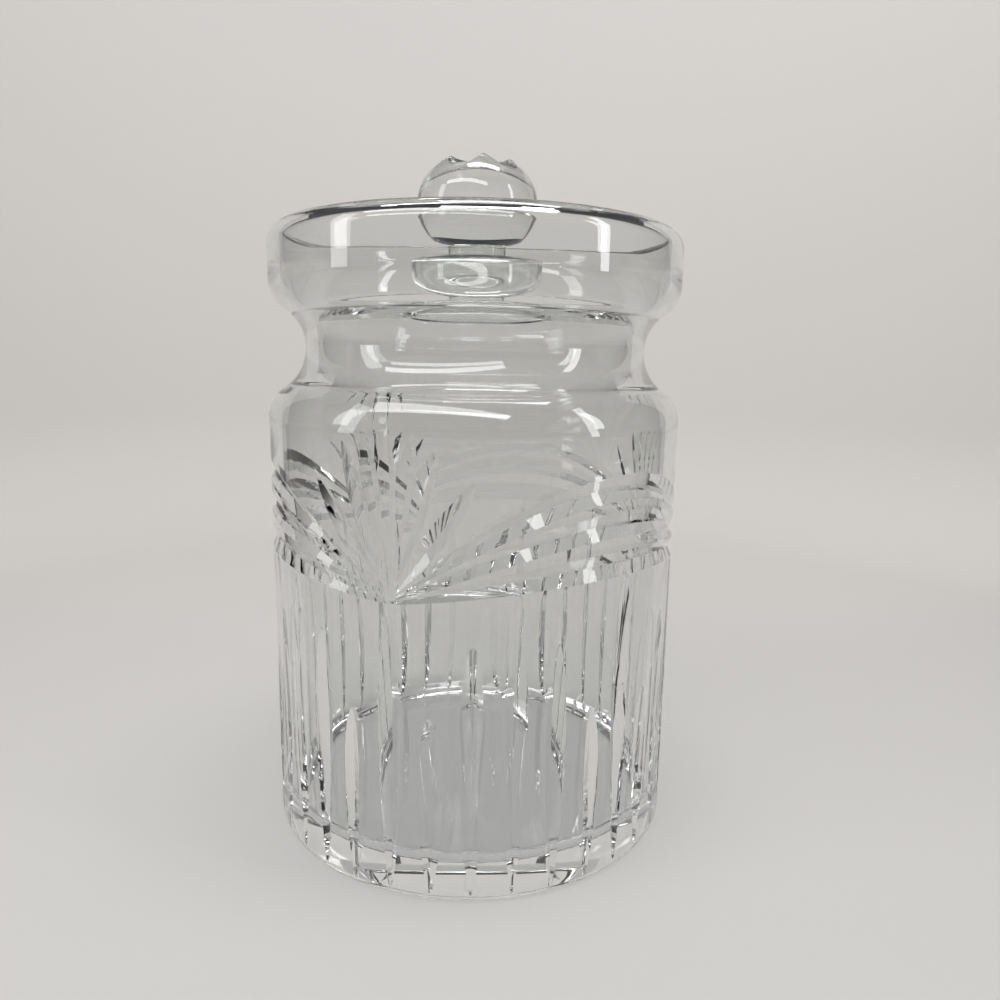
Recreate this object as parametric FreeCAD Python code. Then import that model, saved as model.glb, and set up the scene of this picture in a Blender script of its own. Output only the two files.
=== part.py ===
import FreeCAD, Part
import math
import os

# Biscuit jar of cut crystal with a lift-off lid, in millimetres.
# Origin: centre of the flat foot. +Z runs up the jar, -Y is the front.

# Outside of the jar, from the foot up
BODY_RADIUS = 64.0
FOOT_EDGE = 1.0
WALL_HEIGHT = 127.0
SHOULDER_ARC = 10.5
SHOULDER_RISE = 21.0
WAIST_RADIUS = 52.7
CUP_RISE = 19.2
CUP_ARC = 10.0
CUP_RADIUS = 63.1
CUP_WALL_HEIGHT = 9.8

# Inside of the jar
FLOOR_THICKNESS = 7.2
FLOOR_CORNER = 7.0
WALL_AT_FLOOR = 5.6
WALL_AT_SHOULDER = 3.2
WALL_AT_WAIST = 4.1
WALL_AT_CUP = 2.6
INNER_SHOULDER_DROP = 2.0
INNER_SHOULDER_ARC = 13.0
INNER_CUP_RISE = 24.0
INNER_CUP_ARC = 17.0

# Lip that leans inward and ends in a round edge
LIP_ARC = 6.0
LIP_LEAN_DEG = 55.0

# Cutting wheel that leaves V grooves
WHEEL_HALF_ANGLE_DEG = 62.0
WHEEL_REACH = 1.2
GROOVE_START = -0.03

# Fans of leaves, spaced evenly, each fan growing from a point on the wall
FAN_COUNT = 3
FAN_AZIMUTH_DEG = -20.0
FAN_BELOW_SHOULDER = 44.0
LEAF_LEANS_DEG = (0.0, 9.0, 18.0, 36.0)
LEAF_STARTS = (2.5, 11.0, 4.5, 3.0)
LEAF_ENDS = (44.5, 44.0, 43.0, 38.5)
LEAF_DEPTH = 1.5
LEAF_BLUNTNESS = 0.62
LEAF_SKEW = 1.15

# Swags that hang between the fans
SWAG_RISES = (8.3, 19.2, 29.0)
SWAG_DEPTH = 1.85
SWAG_BLUNTNESS = 0.55
SWAG_STATIONS = (0.006, 0.03, 0.07, 0.13, 0.21, 0.30, 0.40, 0.50)

# Upright lancets around the lower half
LANCET_COUNT = 36
LANCET_KINDS = ("tall", "short", "middle", "tall", "middle", "short")
LANCET_FOOT = 1.6
LANCET_TALL_GAP = 3.0
LANCET_MIDDLE_GAP = 10.5
LANCET_SHORT_GAP = 30.5
LANCET_DEPTH = 1.95
LANCET_BLUNTNESS = 0.45
LANCET_SKEW = 1.35
BLADE_STATIONS = (0.004, 0.03, 0.08, 0.16, 0.28, 0.44, 0.60, 0.74, 0.85, 0.93, 0.975, 0.996)

# Lid plate, which rests on the slope inside the cup
LID_SEAT_RISE = 7.5
LID_CLEARANCE = 0.12
LID_THICKNESS = 3.4
LID_FLARE = 1.0
LID_FLARE_HEIGHT = 1.4
LID_TOP_BEVEL = 0.5
LID_RIM_WIDTH = 9.3
LID_HOLLOW_DEPTH = 0.8
LID_STEP_RADIUS = 37.5
LID_STEP_HEIGHT = 0.8

# Knob, with heights above the lid plate
KNOB_FOOT_RADIUS = 20.4
KNOB_FOOT_SIDE = 5.5
KNOB_FOOT_DOME = 6.0
STEM_RADIUS = 8.9
BALL_RADIUS = 18.6
BALL_HALF_HEIGHT = 15.8
BALL_RISE = 31.8
CROWN_RISE = 13.7
CROWN_CUTS = 5
CROWN_CUT_RADIUS = 6.5
CROWN_CUT_DEPTH = 3.0
CROWN_CUT_TILT_DEG = 18.0
CROWN_FIRST_CUT_DEG = 36.0

INNER_RADIUS_LOW = BODY_RADIUS - WALL_AT_FLOOR
INNER_RADIUS_HIGH = BODY_RADIUS - WALL_AT_SHOULDER
INNER_WAIST_RADIUS = WAIST_RADIUS - WALL_AT_WAIST
INNER_CUP_RADIUS = CUP_RADIUS - WALL_AT_CUP
WAIST_HEIGHT = WALL_HEIGHT + SHOULDER_RISE
CUP_START = WAIST_HEIGHT + CUP_RISE
LIP_START = CUP_START + CUP_WALL_HEIGHT
INNER_SHOULDER_START = WALL_HEIGHT - INNER_SHOULDER_DROP
INNER_CUP_START = WAIST_HEIGHT + INNER_CUP_RISE
FAN_HEIGHT = WALL_HEIGHT - FAN_BELOW_SHOULDER
LID_BOTTOM = WAIST_HEIGHT + LID_SEAT_RISE
LID_TOP = LID_BOTTOM + LID_THICKNESS
KNOB_BOTTOM = LID_TOP + LID_STEP_HEIGHT
BALL_CENTRE = KNOB_BOTTOM + BALL_RISE
CROWN_TOP = BALL_CENTRE + CROWN_RISE
FAN_SPAN_DEG = 360 / FAN_COUNT

AXIS = FreeCAD.Vector(0, 0, 1)
ORIGIN = FreeCAD.Vector(0, 0, 0)
SAME_POINT = 1e-6


def at(radius, height):
    """Point on the profile plane."""
    return FreeCAD.Vector(radius, 0, height)


def arc_around(centre, radius, start_deg, end_deg):
    def on_arc(angle_deg):
        angle = math.radians(angle_deg)
        return centre + at(radius * math.cos(angle), radius * math.sin(angle))
    middle_deg = (start_deg + end_deg) / 2
    return Part.Arc(on_arc(start_deg), on_arc(middle_deg), on_arc(end_deg)).toShape()


def ends_of(item):
    if isinstance(item, Part.Edge):
        return item.valueAt(item.FirstParameter), item.valueAt(item.LastParameter)
    return item, item


def revolved(outline):
    """Solid of revolution from a closed chain of points and curved edges."""
    edges = []
    last = ends_of(outline[-1])[1]
    for item in outline:
        first, end = ends_of(item)
        if last.distanceToPoint(first) > SAME_POINT:
            edges.append(Part.makeLine(last, first))
        if isinstance(item, Part.Edge):
            edges.append(item)
        last = end
    return Part.Face(Part.Wire(edges)).revolve(ORIGIN, AXIS, 360)


def s_curve(bulge_radius, bulge_height, waist_radius, waist_height, bulge_arc):
    """Arcs from a vertical wall, over a bulge and through a hollow, to a vertical waist.

    Gives centre, radius, and start and end angle of the bulge, then of the hollow.
    """
    change = bulge_radius - waist_radius
    rise = waist_height - bulge_height
    both_arcs = (rise ** 2 + change ** 2) / (2 * change)
    hollow_arc = both_arcs - bulge_arc
    turn = math.copysign(math.degrees(math.acos(1 - change / both_arcs)), rise)
    bulge_centre = at(bulge_radius - bulge_arc, bulge_height)
    hollow_centre = at(waist_radius + hollow_arc, waist_height)
    return [(bulge_centre, bulge_arc, 0, turn), (hollow_centre, hollow_arc, 180 + turn, 180)]


def drawn(arcs):
    return [arc_around(*arc) for arc in arcs]


def drawn_backwards(arcs):
    return [arc_around(centre, radius, end, start) for centre, radius, start, end in reversed(arcs)]


def cup_inside():
    return s_curve(INNER_CUP_RADIUS, INNER_CUP_START, INNER_WAIST_RADIUS, WAIST_HEIGHT, INNER_CUP_ARC)


def outer_profile():
    foot_centre = at(BODY_RADIUS - FOOT_EDGE, FOOT_EDGE)
    shoulder = s_curve(BODY_RADIUS, WALL_HEIGHT, WAIST_RADIUS, WAIST_HEIGHT, SHOULDER_ARC)
    cup = s_curve(CUP_RADIUS, CUP_START, WAIST_RADIUS, WAIST_HEIGHT, CUP_ARC)
    return [arc_around(foot_centre, FOOT_EDGE, -90, 0)] + drawn(shoulder) + drawn_backwards(cup)


def lip_profile():
    centre = at(CUP_RADIUS - LIP_ARC, LIP_START)
    lean = math.radians(LIP_LEAN_DEG)
    edge_radius = WALL_AT_CUP / 2
    edge_centre = centre + at(math.cos(lean), math.sin(lean)) * (LIP_ARC - edge_radius)
    return [arc_around(centre, LIP_ARC, 0, LIP_LEAN_DEG),
            arc_around(edge_centre, edge_radius, LIP_LEAN_DEG, LIP_LEAN_DEG + 180),
            arc_around(centre, LIP_ARC - WALL_AT_CUP, LIP_LEAN_DEG, 0)]


def inner_profile():
    shoulder = s_curve(INNER_RADIUS_HIGH, INNER_SHOULDER_START, INNER_WAIST_RADIUS,
                       WAIST_HEIGHT, INNER_SHOULDER_ARC)
    corner_centre = at(INNER_RADIUS_LOW - FLOOR_CORNER, FLOOR_THICKNESS + FLOOR_CORNER)
    corner = arc_around(corner_centre, FLOOR_CORNER, 0, -90)
    return drawn(cup_inside()) + drawn_backwards(shoulder) + [corner]


def jar_blank():
    return revolved([at(0, 0)] + outer_profile() + lip_profile() + inner_profile()
                    + [at(0, FLOOR_THICKNESS)])


def on_wall(azimuth_deg, height, radius=BODY_RADIUS):
    """Point at an azimuth measured from the front towards +X."""
    azimuth = math.radians(azimuth_deg)
    return FreeCAD.Vector(radius * math.sin(azimuth), -radius * math.cos(azimuth), height)


def v_section(station, before, after):
    """Triangle across a groove, with one corner at the bottom of the groove."""
    azimuth_deg, height, depth = station
    along = on_wall(*after[:2]) - on_wall(*before[:2])
    across = on_wall(azimuth_deg, 0, 1).cross(along).normalize()
    half_width = (depth + WHEEL_REACH) * math.tan(math.radians(WHEEL_HALF_ANGLE_DEG))
    bottom = on_wall(azimuth_deg, height, BODY_RADIUS - depth)
    top = on_wall(azimuth_deg, height, BODY_RADIUS + WHEEL_REACH)
    return Part.makePolygon([bottom, top + across * half_width, top - across * half_width, bottom])


def groove_cutter(stations):
    befores = stations[:1] + stations[:-1]
    afters = stations[1:] + stations[-1:]
    sections = [v_section(*three) for three in zip(stations, befores, afters)]
    return Part.makeLoft(sections, True, False)


def cut_depth(fraction, full_depth, bluntness):
    """Depth along a cut: nothing at both ends and full half way."""
    return GROOVE_START + full_depth * math.sin(math.pi * fraction) ** bluntness


def swag_height(from_fan_deg, rise):
    """Height along a swag, which lies in a tilted plane through two fan points."""
    half_span = FAN_SPAN_DEG / 2
    at_fan = math.cos(math.radians(half_span))
    here = math.cos(math.radians(half_span - from_fan_deg))
    return FAN_HEIGHT + rise * (here - at_fan) / (1 - at_fan)


def swag_cutter(fan_azimuth_deg, rise):
    fractions = SWAG_STATIONS + tuple(1 - fraction for fraction in reversed(SWAG_STATIONS[:-1]))
    stations = []
    for fraction in fractions:
        from_fan = fraction * FAN_SPAN_DEG
        depth = cut_depth(fraction, SWAG_DEPTH, SWAG_BLUNTNESS)
        stations.append((fan_azimuth_deg + from_fan, swag_height(from_fan, rise), depth))
    return groove_cutter(stations)


def leaf_cutter(fan_azimuth_deg, lean_deg, start, end):
    lean = math.radians(lean_deg)
    stations = []
    for fraction in BLADE_STATIONS:
        distance = start + (end - start) * fraction
        sideways_deg = math.degrees(distance * math.sin(lean) / BODY_RADIUS)
        height = FAN_HEIGHT + distance * math.cos(lean)
        depth = cut_depth(fraction ** LEAF_SKEW, LEAF_DEPTH, LEAF_BLUNTNESS)
        stations.append((fan_azimuth_deg + sideways_deg, height, depth))
    return groove_cutter(stations)


def fan_cutters(fan_azimuth_deg):
    cutters = []
    for lean_deg, start, end in zip(LEAF_LEANS_DEG, LEAF_STARTS, LEAF_ENDS):
        for side_lean_deg in sorted({lean_deg, -lean_deg}):
            cutters.append(leaf_cutter(fan_azimuth_deg, side_lean_deg, start, end))
    return cutters


def lancet_tip(kind, from_fan_deg):
    tips = {"tall": swag_height(from_fan_deg, SWAG_RISES[0]) - LANCET_TALL_GAP,
            "middle": FAN_HEIGHT - LANCET_MIDDLE_GAP,
            "short": FAN_HEIGHT - LANCET_SHORT_GAP}
    return tips[kind]


def lancet_cutter(index):
    turned_deg = index * 360 / LANCET_COUNT
    kind = LANCET_KINDS[index % len(LANCET_KINDS)]
    length = lancet_tip(kind, turned_deg % FAN_SPAN_DEG) - LANCET_FOOT
    stations = []
    for fraction in BLADE_STATIONS:
        depth = cut_depth(fraction ** LANCET_SKEW, LANCET_DEPTH, LANCET_BLUNTNESS)
        stations.append((FAN_AZIMUTH_DEG + turned_deg, LANCET_FOOT + length * fraction, depth))
    return groove_cutter(stations)


def jar_body():
    jar = jar_blank().cut([lancet_cutter(index) for index in range(LANCET_COUNT)])
    for fan in range(FAN_COUNT):
        fan_azimuth_deg = FAN_AZIMUTH_DEG + fan * FAN_SPAN_DEG
        for leaf in fan_cutters(fan_azimuth_deg):
            jar = jar.cut(leaf)
        for rise in SWAG_RISES:
            jar = jar.cut(swag_cutter(fan_azimuth_deg, rise))
    return jar


def cup_inside_radius(height):
    """Radius of the inside of the cup at a height, on its hollow arc or on its bulge."""
    bulge, hollow = cup_inside()
    bulge_centre, bulge_arc = bulge[:2]
    hollow_centre, hollow_arc = hollow[:2]
    join_height = bulge_centre.z + bulge_arc * math.sin(math.radians(bulge[3]))
    if height < join_height:
        return hollow_centre.x - math.sqrt(hollow_arc ** 2 - (height - hollow_centre.z) ** 2)
    return bulge_centre.x + math.sqrt(bulge_arc ** 2 - (height - bulge_centre.z) ** 2)


def lid_plate():
    edge = cup_inside_radius(LID_BOTTOM) - LID_CLEARANCE
    rim = edge + LID_FLARE
    hollow = edge - LID_RIM_WIDTH
    return revolved([at(0, LID_BOTTOM + LID_HOLLOW_DEPTH),
                     at(hollow - LID_HOLLOW_DEPTH, LID_BOTTOM + LID_HOLLOW_DEPTH),
                     at(hollow, LID_BOTTOM),
                     at(edge, LID_BOTTOM),
                     at(rim, LID_BOTTOM + LID_FLARE_HEIGHT),
                     at(rim, LID_TOP - LID_TOP_BEVEL),
                     at(rim - LID_TOP_BEVEL, LID_TOP),
                     at(LID_STEP_RADIUS + LID_STEP_HEIGHT, LID_TOP),
                     at(LID_STEP_RADIUS, KNOB_BOTTOM),
                     at(0, KNOB_BOTTOM)])


def ellipse_side(centre, half_width, half_height, start, end):
    """Edge along an upright ellipse, between two angles in radians."""
    ellipse = Part.Ellipse(centre + at(half_width, 0), centre + at(0, half_height), centre)
    return Part.ArcOfEllipse(ellipse, start, end).toShape()


def ball_side():
    """Edge of the ball, from the stem to the flat crown."""
    at_stem = -math.acos(STEM_RADIUS / BALL_RADIUS)
    at_crown = math.asin(CROWN_RISE / BALL_HALF_HEIGHT)
    return ellipse_side(at(0, BALL_CENTRE), BALL_RADIUS, BALL_HALF_HEIGHT, at_stem, at_crown)


def foot_dome():
    """Edge of the knob's domed foot, from its upright side to the stem."""
    centre = at(STEM_RADIUS, KNOB_BOTTOM + KNOB_FOOT_SIDE)
    return ellipse_side(centre, KNOB_FOOT_RADIUS - STEM_RADIUS, KNOB_FOOT_DOME, 0, math.pi / 2)


def crown_cutter(index):
    """Round-nosed cut across the edge of the crown."""
    azimuth_deg = CROWN_FIRST_CUT_DEG + index * 360 / CROWN_CUTS
    crown_radius = BALL_RADIUS * math.sqrt(1 - (CROWN_RISE / BALL_HALF_HEIGHT) ** 2)
    tilt = math.radians(CROWN_CUT_TILT_DEG)
    outward = on_wall(azimuth_deg, 0, math.cos(tilt)) - AXIS * math.sin(tilt)
    centre = on_wall(azimuth_deg, CROWN_TOP + CROWN_CUT_RADIUS - CROWN_CUT_DEPTH, crown_radius)
    start = centre - outward * crown_radius
    return Part.makeCylinder(CROWN_CUT_RADIUS, BALL_RADIUS + crown_radius, start, outward)


def lid_knob():
    knob = revolved([at(0, KNOB_BOTTOM), at(KNOB_FOOT_RADIUS, KNOB_BOTTOM),
                     foot_dome(), ball_side(), at(0, CROWN_TOP)])
    for index in range(CROWN_CUTS):
        knob = knob.cut(crown_cutter(index))
    return knob


def main():
    os.makedirs("parts", exist_ok=True)
    nodes = {"lid_plate": lid_plate, "lid_knob": lid_knob, "jar_body": jar_body}
    for name, make in nodes.items():
        shape = make()
        print(name, "solids", len(shape.Solids), "volume", round(shape.Volume), "valid", shape.isValid())
        shape.exportStep("parts/" + name + ".step")


main()
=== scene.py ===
import math

import bmesh
import bpy
from mathutils import Matrix, Vector


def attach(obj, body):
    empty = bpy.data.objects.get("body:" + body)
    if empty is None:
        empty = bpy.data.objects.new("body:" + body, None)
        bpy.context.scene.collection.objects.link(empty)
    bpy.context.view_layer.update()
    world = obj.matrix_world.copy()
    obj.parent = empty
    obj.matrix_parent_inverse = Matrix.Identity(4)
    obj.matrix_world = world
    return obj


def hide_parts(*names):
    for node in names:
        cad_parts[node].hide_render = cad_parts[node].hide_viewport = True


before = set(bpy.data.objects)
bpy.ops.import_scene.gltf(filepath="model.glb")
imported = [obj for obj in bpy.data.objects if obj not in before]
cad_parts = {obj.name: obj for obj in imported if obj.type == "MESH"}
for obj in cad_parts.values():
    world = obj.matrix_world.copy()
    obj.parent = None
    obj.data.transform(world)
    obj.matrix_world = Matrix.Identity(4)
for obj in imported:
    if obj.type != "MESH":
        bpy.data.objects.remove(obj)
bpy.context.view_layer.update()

# Sizes of the jar are in millimetres, as in the part's source, and become metres in each mesh.
# The origin is the centre of the foot, +Z is up and -Y is the front.
METRE = 0.001

# Outside of the jar
BODY_RADIUS = 64.0
FOOT_EDGE = 1.0
WALL_HEIGHT = 127.0
SHOULDER_ARC = 10.5
SHOULDER_RISE = 21.0
WAIST_RADIUS = 52.7
WAIST_HEIGHT = WALL_HEIGHT + SHOULDER_RISE
CUP_RADIUS = 63.1
CUP_ARC = 10.0
CUP_RISE = 19.2
CUP_START = WAIST_HEIGHT + CUP_RISE
CUP_WALL_HEIGHT = 9.8
LIP_START = CUP_START + CUP_WALL_HEIGHT
LIP_ARC = 6.0
LIP_LEAN_DEG = 55.0

# Inside of the jar
FLOOR_THICKNESS = 7.2
FLOOR_CORNER = 7.0
WALL_AT_FLOOR = 5.6
INNER_RADIUS_LOW = BODY_RADIUS - WALL_AT_FLOOR
WALL_AT_SHOULDER = 3.2
INNER_RADIUS_HIGH = BODY_RADIUS - WALL_AT_SHOULDER
INNER_SHOULDER_DROP = 2.0
INNER_SHOULDER_START = WALL_HEIGHT - INNER_SHOULDER_DROP
INNER_SHOULDER_ARC = 13.0
WALL_AT_WAIST = 4.1
INNER_WAIST_RADIUS = WAIST_RADIUS - WALL_AT_WAIST
CUP_WALL = 2.6
INNER_CUP_RADIUS = CUP_RADIUS - CUP_WALL
INNER_CUP_RISE = 24.0
INNER_CUP_START = WAIST_HEIGHT + INNER_CUP_RISE
INNER_CUP_ARC = 17.0

# Cutting wheel and the cuts that it leaves
WHEEL_HALF_ANGLE_DEG = 62.0
WHEEL_REACH = 0.8
GROOVE_START = -0.03
FAN_COUNT = 3
FAN_SPAN_DEG = 360 / FAN_COUNT
FAN_AZIMUTH_DEG = -20.0
FAN_BELOW_SHOULDER = 44.0
FAN_HEIGHT = WALL_HEIGHT - FAN_BELOW_SHOULDER
LEAF_LEANS_DEG = (0.0, 9.0, 18.0, 36.0)
LEAF_STARTS = (2.5, 11.0, 4.5, 3.0)
LEAF_ENDS = (44.5, 44.0, 43.0, 38.5)
LEAF_DEPTH = 1.5
LEAF_BLUNTNESS = 0.62
LEAF_SKEW = 1.15
SWAG_RISES = (8.3, 19.2, 29.0)
SWAG_DEPTH = 1.85
SWAG_BLUNTNESS = 0.55
LANCET_COUNT = 36
LANCET_KINDS = ("tall", "short", "middle", "tall", "middle", "short")
LANCET_FOOT = 1.6
LANCET_TALL_GAP = 3.0
LANCET_MIDDLE_GAP = 10.5
LANCET_SHORT_GAP = 30.5
LANCET_DEPTH = 1.95
LANCET_BLUNTNESS = 0.45
LANCET_SKEW = 1.35

# Lid and knob
LID_SEAT_RISE = 7.5
LID_CLEARANCE = 0.12
LID_BOTTOM = WAIST_HEIGHT + LID_SEAT_RISE
LID_THICKNESS = 3.4
LID_TOP = LID_BOTTOM + LID_THICKNESS
LID_FLARE = 1.0
LID_FLARE_HEIGHT = 1.4
LID_TOP_BEVEL = 0.5
LID_RIM_WIDTH = 9.3
LID_HOLLOW_DEPTH = 0.8
LID_STEP_RADIUS = 37.5
LID_STEP_HEIGHT = 0.8
KNOB_BOTTOM = LID_TOP + LID_STEP_HEIGHT
KNOB_FOOT_RADIUS = 20.4
KNOB_FOOT_SIDE = 5.5
KNOB_FOOT_DOME = 6.0
STEM_RADIUS = 8.9
BALL_RADIUS = 18.6
BALL_HALF_HEIGHT = 15.8
BALL_RISE = 31.8
BALL_CENTRE = KNOB_BOTTOM + BALL_RISE
CROWN_RISE = 13.7
CROWN_CUTS = 6
CROWN_CUT_RADIUS = 6.5
CROWN_CUT_DEPTH = 3.0
CROWN_CUT_TILT_DEG = 18.0
CROWN_FIRST_CUT_DEG = 38.0

# Fineness of the meshes
TURN_SEGMENTS = 360
ARC_STEP = 0.5
WALL_STEP = 4.0
CUT_STATIONS = 40
CROWN_CUT_SEGMENTS = 72
CREASE_DEG = 14.0
SAME_POINT = 0.001

# Glass
CRYSTAL_IOR = 1.54
CRYSTAL_COLOUR = (0.885, 0.895, 0.89, 1)
SHADOW_TINT = (0.89, 0.895, 0.90, 1)
WAVE_SCALE = 45.0
WAVE_DETAIL = 1
WAVE_HEIGHT = 0.00002
POLISH_SCALE = 900.0
POLISH_DETAIL = 3
POLISH_FROM = 0.55
POLISH_TO = 0.85
POLISH_LOW = 0.0
POLISH_HIGH = 0.03

# Floor and sweep, also in millimetres
FLOOR_COLOUR = (0.80, 0.78, 0.755, 1)
FLOOR_ROUGHNESS = 0.8
FLOOR_RADIUS = 3000.0
FLOOR_STEP_DEG = 5
FLOOR_GAP = 0.4
SWEEP_DISTANCE = 500.0
SWEEP_RADIUS = 100.0
SWEEP_HEIGHT = 520.0
SWEEP_HALF_ANGLE_DEG = 60
SWEEP_SEGMENTS = 64
SWEEP_BEND_STEPS = 16
BACK_DEG = 180

# Room and light paths
ROOM_COLOUR = (0.92, 0.95, 1.0, 1)
ROOM_STRENGTH = 0.05
LIGHT_BOUNCES = 20

# Lights: name, place, width and height, watts, and the point that each faces, in metres
LIGHTS = (
    ("key", (-0.2, -0.5, 0.7), (1.0, 0.12), 3.0, (0.15, 0.25, 0.1)),
    ("window", (-0.75, -0.25, 0.4), (0.15, 0.5), 1.0, (0, 0, 0.1)),
    ("side", (0.8, -0.35, 0.45), (0.09, 0.6), 1.3, (0, 0, 0.1)),
    ("overhead", (0.1, -0.05, 0.9), (0.5, 0.15), 2.7, (0.1, 0.1, 0)),
)

# Camera of the photograph: metres, radians and, for the lens, millimetres
CAMERA_BACK = 0.2502
CAMERA_HEIGHT = 0.14365
CAMERA_DOWN = 0.175
CAMERA_YAW = 0.0335
CAMERA_ROLL = -0.0158
CAMERA_LENS = 27.7
CAMERA_CLIP = 0.01


def arc_points(centre, radius, start_deg, end_deg):
    """Points (radius, height) along an arc about a centre on the profile plane."""
    turn = math.radians(end_deg - start_deg)
    steps = max(3, math.ceil(abs(turn) * radius / ARC_STEP))
    angles = [math.radians(start_deg) + turn * step / steps for step in range(steps + 1)]
    return [(centre[0] + radius * math.cos(angle), centre[1] + radius * math.sin(angle))
            for angle in angles]


def straight_points(start, end):
    """Points strictly between two points of a straight wall."""
    steps = max(1, math.ceil(math.dist(start, end) / WALL_STEP))
    return [(start[0] + (end[0] - start[0]) * step / steps,
             start[1] + (end[1] - start[1]) * step / steps)
            for step in range(1, steps)]


def s_curve(bulge_radius, bulge_height, waist_radius, waist_height, bulge_arc):
    """Points from a vertical wall, over a bulge and through a hollow, to a vertical waist."""
    change = bulge_radius - waist_radius
    rise = waist_height - bulge_height
    both_arcs = (rise ** 2 + change ** 2) / (2 * change)
    hollow_arc = both_arcs - bulge_arc
    turn = math.copysign(math.degrees(math.acos(1 - change / both_arcs)), rise)
    bulge = arc_points((bulge_radius - bulge_arc, bulge_height), bulge_arc, 0, turn)
    hollow = arc_points((waist_radius + hollow_arc, waist_height), hollow_arc, 180 + turn, 180)
    return bulge + hollow[1:]


def lip_points():
    centre = (CUP_RADIUS - LIP_ARC, LIP_START)
    lean = math.radians(LIP_LEAN_DEG)
    edge_radius = CUP_WALL / 2
    middle = LIP_ARC - edge_radius
    edge_centre = (centre[0] + middle * math.cos(lean), centre[1] + middle * math.sin(lean))
    outside = arc_points(centre, LIP_ARC, 0, LIP_LEAN_DEG)
    edge = arc_points(edge_centre, edge_radius, LIP_LEAN_DEG, LIP_LEAN_DEG + 180)
    inside = arc_points(centre, LIP_ARC - CUP_WALL, LIP_LEAN_DEG, 0)
    return outside + edge[1:-1] + inside


def joined(*stretches):
    """One profile from several stretches, with rows added where a gap between them is long."""
    profile = list(stretches[0])
    for stretch in stretches[1:]:
        profile += straight_points(profile[-1], stretch[0])
        repeated = math.dist(profile[-1], stretch[0]) < SAME_POINT
        profile += stretch[1:] if repeated else stretch
    return profile


def jar_profile():
    foot = arc_points((BODY_RADIUS - FOOT_EDGE, FOOT_EDGE), FOOT_EDGE, -90, 0)
    shoulder = s_curve(BODY_RADIUS, WALL_HEIGHT, WAIST_RADIUS, WAIST_HEIGHT, SHOULDER_ARC)
    cup = s_curve(CUP_RADIUS, CUP_START, WAIST_RADIUS, WAIST_HEIGHT, CUP_ARC)
    inner_cup = s_curve(INNER_CUP_RADIUS, INNER_CUP_START, INNER_WAIST_RADIUS,
                        WAIST_HEIGHT, INNER_CUP_ARC)
    inner_shoulder = s_curve(INNER_RADIUS_HIGH, INNER_SHOULDER_START, INNER_WAIST_RADIUS,
                             WAIST_HEIGHT, INNER_SHOULDER_ARC)
    corner_centre = (INNER_RADIUS_LOW - FLOOR_CORNER, FLOOR_THICKNESS + FLOOR_CORNER)
    corner = arc_points(corner_centre, FLOOR_CORNER, 0, -90)
    return joined([(0, 0)], foot, shoulder, cup[::-1], lip_points(), inner_cup,
                  inner_shoulder[::-1], corner, [(0, FLOOR_THICKNESS)])


def lid_profile():
    seat_wall = s_curve_hollow_radius(LID_SEAT_RISE)
    edge = seat_wall - LID_CLEARANCE
    rim = edge + LID_FLARE
    hollow = edge - LID_RIM_WIDTH
    crown_top = BALL_CENTRE + CROWN_RISE
    outline = [(0, LID_BOTTOM + LID_HOLLOW_DEPTH),
               (hollow - LID_HOLLOW_DEPTH, LID_BOTTOM + LID_HOLLOW_DEPTH),
               (hollow, LID_BOTTOM),
               (edge, LID_BOTTOM),
               (rim, LID_BOTTOM + LID_FLARE_HEIGHT),
               (rim, LID_TOP - LID_TOP_BEVEL),
               (rim - LID_TOP_BEVEL, LID_TOP),
               (LID_STEP_RADIUS + LID_STEP_HEIGHT, LID_TOP),
               (LID_STEP_RADIUS, KNOB_BOTTOM),
               (KNOB_FOOT_RADIUS, KNOB_BOTTOM)]
    return joined(*[[point] for point in outline], foot_dome(), ball_side(), [(0, crown_top)])


def s_curve_hollow_radius(rise):
    """Radius of the inside of the cup at a rise above the waist, on the hollow arc."""
    change = INNER_CUP_RADIUS - INNER_WAIST_RADIUS
    height = INNER_CUP_START - WAIST_HEIGHT
    hollow_arc = (height ** 2 + change ** 2) / (2 * change) - INNER_CUP_ARC
    return INNER_WAIST_RADIUS + hollow_arc - math.sqrt(hollow_arc ** 2 - rise ** 2)


def ellipse_points(centre, half_width, half_height, start, end):
    """Points along an upright ellipse, between two angles in radians."""
    steps = math.ceil((end - start) * half_width / ARC_STEP)
    angles = [start + (end - start) * step / steps for step in range(steps + 1)]
    return [(centre[0] + half_width * math.cos(angle), centre[1] + half_height * math.sin(angle))
            for angle in angles]


def ball_side():
    at_stem = -math.acos(STEM_RADIUS / BALL_RADIUS)
    at_crown = math.asin(CROWN_RISE / BALL_HALF_HEIGHT)
    return ellipse_points((0, BALL_CENTRE), BALL_RADIUS, BALL_HALF_HEIGHT, at_stem, at_crown)


def foot_dome():
    """Domed foot of the knob, from its upright side to the stem."""
    centre = (STEM_RADIUS, KNOB_BOTTOM + KNOB_FOOT_SIDE)
    return ellipse_points(centre, KNOB_FOOT_RADIUS - STEM_RADIUS, KNOB_FOOT_DOME, 0, math.pi / 2)


def mesh_object(name, points, faces):
    mesh = bpy.data.meshes.new(name)
    mesh.from_pydata([Vector(point) * METRE for point in points], [], faces)
    tidy = bmesh.new()
    tidy.from_mesh(mesh)
    bmesh.ops.recalc_face_normals(tidy, faces=tidy.faces)
    tidy.to_mesh(mesh)
    tidy.free()
    made = bpy.data.objects.new(name, mesh)
    bpy.context.scene.collection.objects.link(made)
    return made


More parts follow.
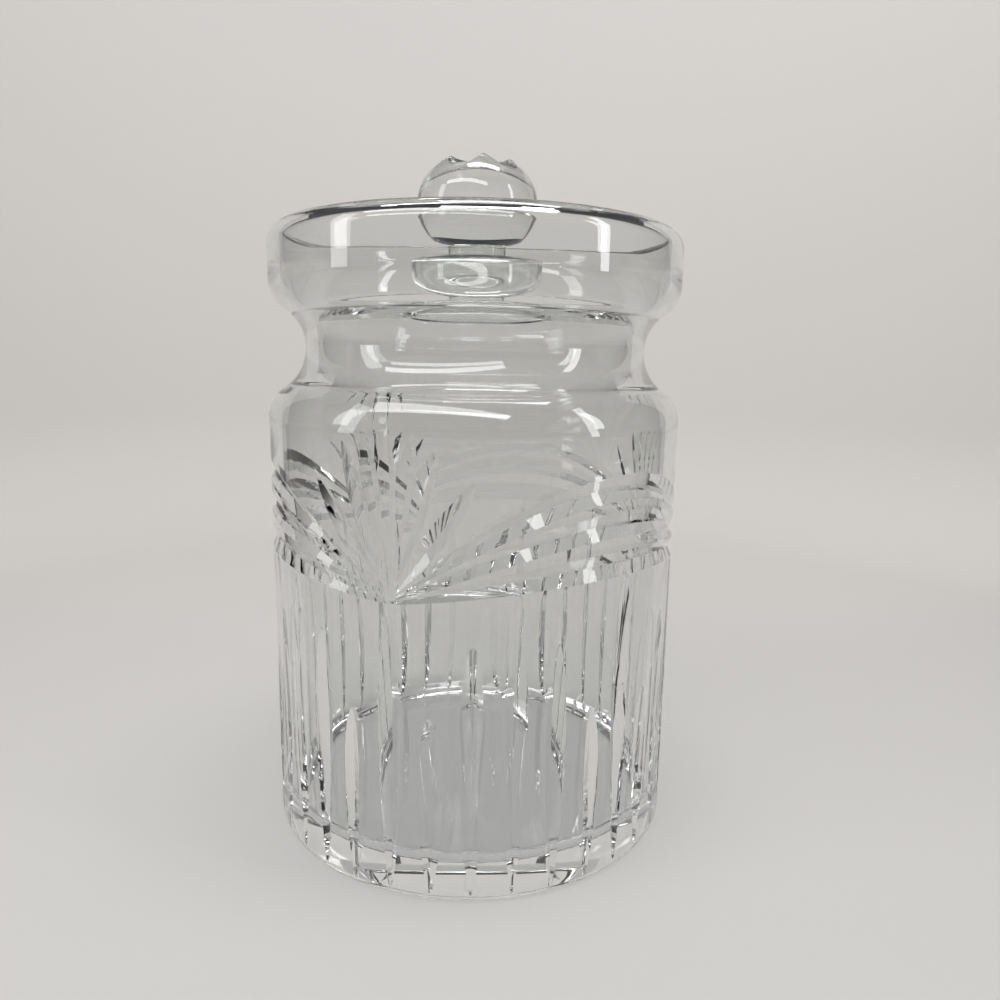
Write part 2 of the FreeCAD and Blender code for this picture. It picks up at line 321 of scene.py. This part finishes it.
def turned(name, profile):
    """Closed mesh of a profile that starts and ends on the axis."""
    rings = profile[1:-1]
    points = [(0, 0, profile[0][1]), (0, 0, profile[-1][1])]
    first = len(points)
    for radius, height in rings:
        for segment in range(TURN_SEGMENTS):
            angle = 2 * math.pi * segment / TURN_SEGMENTS
            points.append((radius * math.sin(angle), -radius * math.cos(angle), height))
    faces = []
    last = len(points) - TURN_SEGMENTS
    for segment in range(TURN_SEGMENTS):
        beside = (segment + 1) % TURN_SEGMENTS
        faces.append((0, first + segment, first + beside))
        faces.append((1, last + beside, last + segment))
        for low in range(first, last, TURN_SEGMENTS):
            high = low + TURN_SEGMENTS
            faces.append((low + segment, low + beside, high + beside, high + segment))
    return mesh_object(name, points, faces)


def on_wall(azimuth_deg, height, radius=BODY_RADIUS):
    """Point at an azimuth measured from the front towards +X."""
    azimuth = math.radians(azimuth_deg)
    return Vector((radius * math.sin(azimuth), -radius * math.cos(azimuth), height))


def v_section(station, before, after):
    """Triangle across a groove, with one corner at the bottom of the groove."""
    azimuth_deg, height, depth = station
    along = on_wall(*after[:2]) - on_wall(*before[:2])
    across = on_wall(azimuth_deg, 0, 1).cross(along).normalized()
    half_width = (depth + WHEEL_REACH) * math.tan(math.radians(WHEEL_HALF_ANGLE_DEG))
    bottom = on_wall(azimuth_deg, height, BODY_RADIUS - depth)
    top = on_wall(azimuth_deg, height, BODY_RADIUS + WHEEL_REACH)
    return [bottom, top + across * half_width, top - across * half_width]


def cutter_of(name, tubes):
    """One cutter of closed tubes that stand clear of each other, each through its own sections."""
    points = []
    faces = []
    for sections in tubes:
        corners = len(sections[0])
        first = len(points)
        points += [point for section in sections for point in section]
        last = len(points) - corners
        faces += [tuple(range(first, first + corners)), tuple(range(last, len(points)))]
        for start in range(first, last, corners):
            for corner in range(corners):
                beside = (corner + 1) % corners
                faces.append((start + corner, start + beside,
                              start + corners + beside, start + corners + corner))
    return mesh_object(name, points, faces)


def groove(stations):
    """Sections of the cutter that leaves one groove."""
    befores = stations[:1] + stations[:-1]
    afters = stations[1:] + stations[-1:]
    return [v_section(*three) for three in zip(stations, befores, afters)]


def cut_fractions():
    """Places along a cut, closer together towards its ends."""
    return [(1 - math.cos(math.pi * step / CUT_STATIONS)) / 2 for step in range(CUT_STATIONS + 1)]


def cut_depth(fraction, full_depth, bluntness):
    """Depth along a cut: nothing at both ends and full half way."""
    return GROOVE_START + full_depth * max(0, math.sin(math.pi * fraction)) ** bluntness


def swag_height(from_fan_deg, rise):
    """Height along a swag, which lies in a tilted plane through two fan points."""
    half_span = FAN_SPAN_DEG / 2
    at_fan = math.cos(math.radians(half_span))
    here = math.cos(math.radians(half_span - from_fan_deg))
    return FAN_HEIGHT + rise * (here - at_fan) / (1 - at_fan)


def swag_groove(fan_azimuth_deg, rise):
    stations = []
    for fraction in cut_fractions():
        from_fan = fraction * FAN_SPAN_DEG
        depth = cut_depth(fraction, SWAG_DEPTH, SWAG_BLUNTNESS)
        stations.append((fan_azimuth_deg + from_fan, swag_height(from_fan, rise), depth))
    return groove(stations)


def leaf_groove(fan_azimuth_deg, lean_deg, start, end):
    lean = math.radians(lean_deg)
    stations = []
    for fraction in cut_fractions():
        distance = start + (end - start) * fraction
        sideways_deg = math.degrees(distance * math.sin(lean) / BODY_RADIUS)
        height = FAN_HEIGHT + distance * math.cos(lean)
        depth = cut_depth(fraction ** LEAF_SKEW, LEAF_DEPTH, LEAF_BLUNTNESS)
        stations.append((fan_azimuth_deg + sideways_deg, height, depth))
    return groove(stations)


def fan_azimuths():
    return [FAN_AZIMUTH_DEG + fan * FAN_SPAN_DEG for fan in range(FAN_COUNT)]


def leaf_cutters():
    """One cutter for each lean, with its leaf in every fan."""
    cutters = []
    for lean_deg, start, end in zip(LEAF_LEANS_DEG, LEAF_STARTS, LEAF_ENDS):
        for side_lean_deg in sorted({lean_deg, -lean_deg}):
            leaves = [leaf_groove(azimuth, side_lean_deg, start, end) for azimuth in fan_azimuths()]
            cutters.append(cutter_of("leaf_cuts", leaves))
    return cutters


def swag_cutters():
    return [cutter_of("swag_cut", [swag_groove(azimuth, rise)])
            for azimuth in fan_azimuths() for rise in SWAG_RISES]


def lancet_tip(kind, from_fan_deg):
    tips = {"tall": swag_height(from_fan_deg, SWAG_RISES[0]) - LANCET_TALL_GAP,
            "middle": FAN_HEIGHT - LANCET_MIDDLE_GAP,
            "short": FAN_HEIGHT - LANCET_SHORT_GAP}
    return tips[kind]


def lancet_groove(index):
    turned_deg = index * 360 / LANCET_COUNT
    kind = LANCET_KINDS[index % len(LANCET_KINDS)]
    length = lancet_tip(kind, turned_deg % FAN_SPAN_DEG) - LANCET_FOOT
    stations = []
    for fraction in cut_fractions():
        depth = cut_depth(fraction ** LANCET_SKEW, LANCET_DEPTH, LANCET_BLUNTNESS)
        stations.append((FAN_AZIMUTH_DEG + turned_deg, LANCET_FOOT + length * fraction, depth))
    return groove(stations)


def crown_cutter(index):
    """Round-nosed cut across the edge of the crown."""
    azimuth_deg = CROWN_FIRST_CUT_DEG + index * 360 / CROWN_CUTS
    crown_radius = BALL_RADIUS * math.sqrt(1 - (CROWN_RISE / BALL_HALF_HEIGHT) ** 2)
    tilt = math.radians(CROWN_CUT_TILT_DEG)
    outward = on_wall(azimuth_deg, 0, math.cos(tilt)) - Vector((0, 0, math.sin(tilt)))
    sideways = on_wall(azimuth_deg + 90, 0, 1)
    upward = outward.cross(sideways)
    height = BALL_CENTRE + CROWN_RISE + CROWN_CUT_RADIUS - CROWN_CUT_DEPTH
    start = on_wall(azimuth_deg, height, crown_radius) - outward * crown_radius
    sections = []
    for along in (0, BALL_RADIUS + crown_radius):
        circle = []
        for segment in range(CROWN_CUT_SEGMENTS):
            angle = 2 * math.pi * segment / CROWN_CUT_SEGMENTS
            reach = sideways * math.cos(angle) + upward * math.sin(angle)
            circle.append(start + outward * along + reach * CROWN_CUT_RADIUS)
        sections.append(circle)
    return cutter_of("crown_cut", [sections])


def cut(blank, cutters, material):
    """Takes each cutter out of the blank and shades it smooth between sharp edges."""
    for cutter in cutters:
        step = blank.modifiers.new("cut", "BOOLEAN")
        step.operation = "DIFFERENCE"
        step.solver = "MANIFOLD"
        step.object = cutter
    ready = blank.evaluated_get(bpy.context.evaluated_depsgraph_get())
    mesh = bpy.data.meshes.new_from_object(ready)
    blank.modifiers.clear()
    blank.data = mesh
    for cutter in cutters:
        bpy.data.objects.remove(cutter)
    mesh.materials.clear()
    mesh.materials.append(material)
    mesh.shade_smooth()
    mesh.set_sharp_from_angle(angle=math.radians(CREASE_DEG))
    return blank


def make_jar():
    lancets = [lancet_groove(index) for index in range(LANCET_COUNT)]
    cutters = [cutter_of("lancet_cuts", lancets)] + leaf_cutters() + swag_cutters()
    jar = cut(turned("cut_glass_jar", jar_profile()), cutters, crystal("jar_crystal"))
    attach(jar, "jar")
    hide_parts("jar_body")


def make_lid():
    cutters = [crown_cutter(index) for index in range(CROWN_CUTS)]
    lid = cut(turned("glass_lid", lid_profile()), cutters, crystal("lid_crystal"))
    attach(lid, "lid")
    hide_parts("lid_plate", "lid_knob")


def node_material(name):
    material = bpy.data.materials.new(name)
    material.use_nodes = True
    return material, material.node_tree.nodes["Principled BSDF"]


def noise(tree, scale, detail):
    """Noise in the object's own coordinates, so that it stays on the glass."""
    coordinates = tree.nodes.new("ShaderNodeTexCoord")
    texture = tree.nodes.new("ShaderNodeTexNoise")
    texture.inputs["Scale"].default_value = scale
    texture.inputs["Detail"].default_value = detail
    tree.links.new(coordinates.outputs["Object"], texture.inputs["Vector"])
    return texture


def crystal(name):
    """Polished glass with a grey tint, a faint unevenness and slight changes of polish."""
    material, shader = node_material(name)
    tree = material.node_tree
    shader.inputs["Base Color"].default_value = CRYSTAL_COLOUR
    shader.inputs["Transmission Weight"].default_value = 1.0
    shader.inputs["IOR"].default_value = CRYSTAL_IOR
    polish = tree.nodes.new("ShaderNodeMapRange")
    polish.inputs["From Min"].default_value = POLISH_FROM
    polish.inputs["From Max"].default_value = POLISH_TO
    polish.inputs["To Min"].default_value = POLISH_LOW
    polish.inputs["To Max"].default_value = POLISH_HIGH
    tree.links.new(noise(tree, POLISH_SCALE, POLISH_DETAIL).outputs["Fac"], polish.inputs["Value"])
    tree.links.new(polish.outputs["Result"], shader.inputs["Roughness"])
    bump = tree.nodes.new("ShaderNodeBump")
    bump.inputs["Distance"].default_value = WAVE_HEIGHT
    tree.links.new(noise(tree, WAVE_SCALE, WAVE_DETAIL).outputs["Fac"], bump.inputs["Height"])
    tree.links.new(bump.outputs["Normal"], shader.inputs["Normal"])
    let_light_through(tree, shader)
    return material


def let_light_through(tree, shader):
    """Lets shadow rays and diffuse rays pass straight, so that what stands under the glass is lit."""
    rays = tree.nodes.new("ShaderNodeLightPath")
    either = tree.nodes.new("ShaderNodeMath")
    either.operation = "MAXIMUM"
    clear = tree.nodes.new("ShaderNodeBsdfTransparent")
    clear.inputs["Color"].default_value = SHADOW_TINT
    mix = tree.nodes.new("ShaderNodeMixShader")
    output = tree.nodes["Material Output"]
    tree.links.new(rays.outputs["Is Shadow Ray"], either.inputs[0])
    tree.links.new(rays.outputs["Is Diffuse Ray"], either.inputs[1])
    tree.links.new(either.outputs["Value"], mix.inputs["Fac"])
    tree.links.new(shader.outputs["BSDF"], mix.inputs[1])
    tree.links.new(clear.outputs["BSDF"], mix.inputs[2])
    tree.links.new(mix.outputs["Shader"], output.inputs["Surface"])


def make_sweep():
    """Pale sheet that lies under the jar and curves up behind it."""
    turns = [math.pi / 2 * step / SWEEP_BEND_STEPS for step in range(SWEEP_BEND_STEPS + 1)]
    bend = [(SWEEP_DISTANCE - SWEEP_RADIUS * (1 - math.sin(turn)), SWEEP_RADIUS * (1 - math.cos(turn)))
            for turn in turns]
    profile = [(0, 0)] + bend + [(SWEEP_DISTANCE, SWEEP_HEIGHT)]
    points = []
    for segment in range(SWEEP_SEGMENTS + 1):
        from_middle = SWEEP_HALF_ANGLE_DEG * (2 * segment / SWEEP_SEGMENTS - 1)
        points += [on_wall(BACK_DEG + from_middle, height, radius) for radius, height in profile]
    rows = len(profile)
    faces = [(row, row + 1, row + 1 + rows, row + rows)
             for start in range(0, SWEEP_SEGMENTS * rows, rows)
             for row in range(start, start + rows - 1)]
    return mesh_object("sweep", points, faces)


def make_floor():
    """Flat floor on the side that the sweep leaves open."""
    last = 2 * BACK_DEG - SWEEP_HALF_ANGLE_DEG
    edge = [on_wall(BACK_DEG + turn, 0, FLOOR_RADIUS)
            for turn in range(SWEEP_HALF_ANGLE_DEG, last + 1, FLOOR_STEP_DEG)]
    return mesh_object("floor", [(0, 0, 0)] + edge, [tuple(range(len(edge) + 1))])


def make_stage():
    """Floor and sweep, a hair under the foot so that the glass has air below it."""
    material, shader = node_material("floor_paper")
    shader.inputs["Base Color"].default_value = FLOOR_COLOUR
    shader.inputs["Roughness"].default_value = FLOOR_ROUGHNESS
    for piece in (make_floor(), make_sweep()):
        piece.data.shade_smooth()
        piece.data.materials.append(material)
        piece.location.z = -FLOOR_GAP * METRE


def make_camera():
    data = bpy.data.cameras.new("camera")
    data.lens = CAMERA_LENS
    data.clip_start = CAMERA_CLIP
    camera = bpy.data.objects.new("camera", data)
    bpy.context.scene.collection.objects.link(camera)
    across = Vector((math.cos(CAMERA_YAW), -math.sin(CAMERA_YAW), 0))
    ahead = Vector((math.sin(CAMERA_YAW), math.cos(CAMERA_YAW), 0))
    forward = ahead * math.cos(CAMERA_DOWN) - Vector((0, 0, math.sin(CAMERA_DOWN)))
    level_up = ahead * math.sin(CAMERA_DOWN) + Vector((0, 0, math.cos(CAMERA_DOWN)))
    right = across * math.cos(CAMERA_ROLL) - level_up * math.sin(CAMERA_ROLL)
    up = across * math.sin(CAMERA_ROLL) + level_up * math.cos(CAMERA_ROLL)
    turn = Matrix((right, up, -forward)).transposed()
    camera.matrix_world = Matrix.Translation((0, -CAMERA_BACK, CAMERA_HEIGHT)) @ turn.to_4x4()
    bpy.context.scene.camera = camera


def soft_light(name, place, size, watts, target):
    data = bpy.data.lights.new(name, "AREA")
    data.shape = "RECTANGLE"
    data.size, data.size_y = size
    data.energy = watts
    light = bpy.data.objects.new(name, data)
    bpy.context.scene.collection.objects.link(light)
    light.location = place
    light.rotation_mode = "QUATERNION"
    light.rotation_quaternion = (Vector(target) - Vector(place)).to_track_quat("-Z", "Y")


def make_world():
    """Dim grey room, so that the edges of the glass read dark against the pale sweep."""
    world = bpy.data.worlds.new("studio")
    world.use_nodes = True
    background = world.node_tree.nodes["Background"]
    background.inputs["Color"].default_value = ROOM_COLOUR
    background.inputs["Strength"].default_value = ROOM_STRENGTH
    bpy.context.scene.world = world


def follow_light_through_glass():
    """Bounces enough for light that reflects inside the thick base and the cuts."""
    scene = bpy.context.scene
    scene.view_settings.view_transform = "Standard"
    scene.cycles.max_bounces = LIGHT_BOUNCES
    scene.cycles.glossy_bounces = LIGHT_BOUNCES
    scene.cycles.transmission_bounces = LIGHT_BOUNCES


make_world()
follow_light_through_glass()
for light in LIGHTS:
    soft_light(*light)
make_stage()
make_jar()
make_lid()
make_camera()
